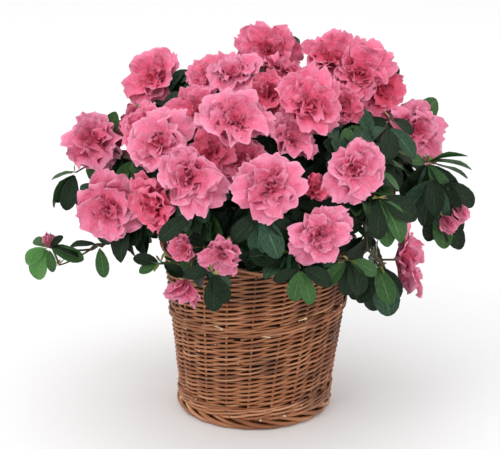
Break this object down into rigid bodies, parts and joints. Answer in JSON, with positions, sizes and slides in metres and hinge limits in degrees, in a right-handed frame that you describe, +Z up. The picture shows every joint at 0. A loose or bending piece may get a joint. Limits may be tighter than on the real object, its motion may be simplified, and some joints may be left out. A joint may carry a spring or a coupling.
{
  "type": "potted azalea shrub",
  "caption": "Double-flowered azalea shrub with a rounded crown of leafy, blossoming masses on a short stem, planted in a tapered round willow basket.",
  "frame": {"origin": "centre of the basket's flat underside, on the surface that it stands on", "axes": "+Z up; +X to the plant's right as seen from its front; the front faces -Y"},
  "size_m": [0.4541, 0.3576, 0.3898],
  "materials": {
    "stained_willow": "satin",
    "moist_peat": "matte",
    "azalea_bark": "matte",
    "azalea_blossom": "matte",
    "azalea_leaves": "satin"
  },
  "bodies": {
    "root": {"basket_base": "stained_willow", "basket_foot_border": "stained_willow", "basket_wall": "stained_willow", "basket_rim_border": "stained_willow", "potting_soil": "moist_peat", "stem": "azalea_bark", "bough_to_back_centre": "azalea_bark", "bough_to_back_left": "azalea_bark", "bough_to_back_right": "azalea_bark", "bough_to_front_centre": "azalea_bark", "bough_to_front_left": "azalea_bark", "bough_to_front_right": "azalea_bark", "bough_to_left_side": "azalea_bark", "bough_to_right_side": "azalea_bark", "side_bough_to_crown_top_back": "azalea_bark", "side_bough_to_crown_top_front": "azalea_bark", "side_bough_to_left_arm_spray": "azalea_bark", "side_bough_to_lower_back_left": "azalea_bark", "side_bough_to_lower_back_right": "azalea_bark", "side_bough_to_lower_front": "azalea_bark", "side_bough_to_lower_front_left": "azalea_bark", "side_bough_to_lower_left": "azalea_bark", "side_bough_to_lower_right_spray": "azalea_bark", "side_bough_to_right_tuft": "azalea_bark", "side_bough_to_shoulder_left": "azalea_bark", "side_bough_to_upper_back_left": "azalea_bark", "side_bough_to_upper_front": "azalea_bark", "side_bough_to_upper_front_right": "azalea_bark", "side_bough_to_upper_left": "azalea_bark", "side_bough_to_upper_right": "azalea_bark", "back_centre": "azalea_blossom", "back_left": "azalea_blossom", "back_right": "azalea_blossom", "crown_top_back": "azalea_blossom", "crown_top_front": "azalea_blossom", "front_centre": "azalea_blossom", "front_left": "azalea_blossom", "front_right": "azalea_blossom", "left_arm_spray": "azalea_leaves", "left_side": "azalea_blossom", "lower_back": "azalea_blossom", "lower_back_left": "azalea_blossom", "lower_back_right": "azalea_blossom", "lower_front": "azalea_blossom", "lower_front_left": "azalea_blossom", "lower_front_right": "azalea_blossom", "lower_left": "azalea_blossom", "lower_left_back": "azalea_blossom", "lower_right_spray": "azalea_leaves", "right_side": "azalea_blossom", "right_tuft": "azalea_leaves", "shoulder_left": "azalea_blossom", "shoulder_right": "azalea_blossom", "upper_back_left": "azalea_blossom", "upper_back_right": "azalea_blossom", "upper_front": "azalea_blossom", "upper_front_right": "azalea_blossom", "upper_left": "azalea_blossom", "upper_right": "azalea_blossom"}
  },
  "joints": []
}
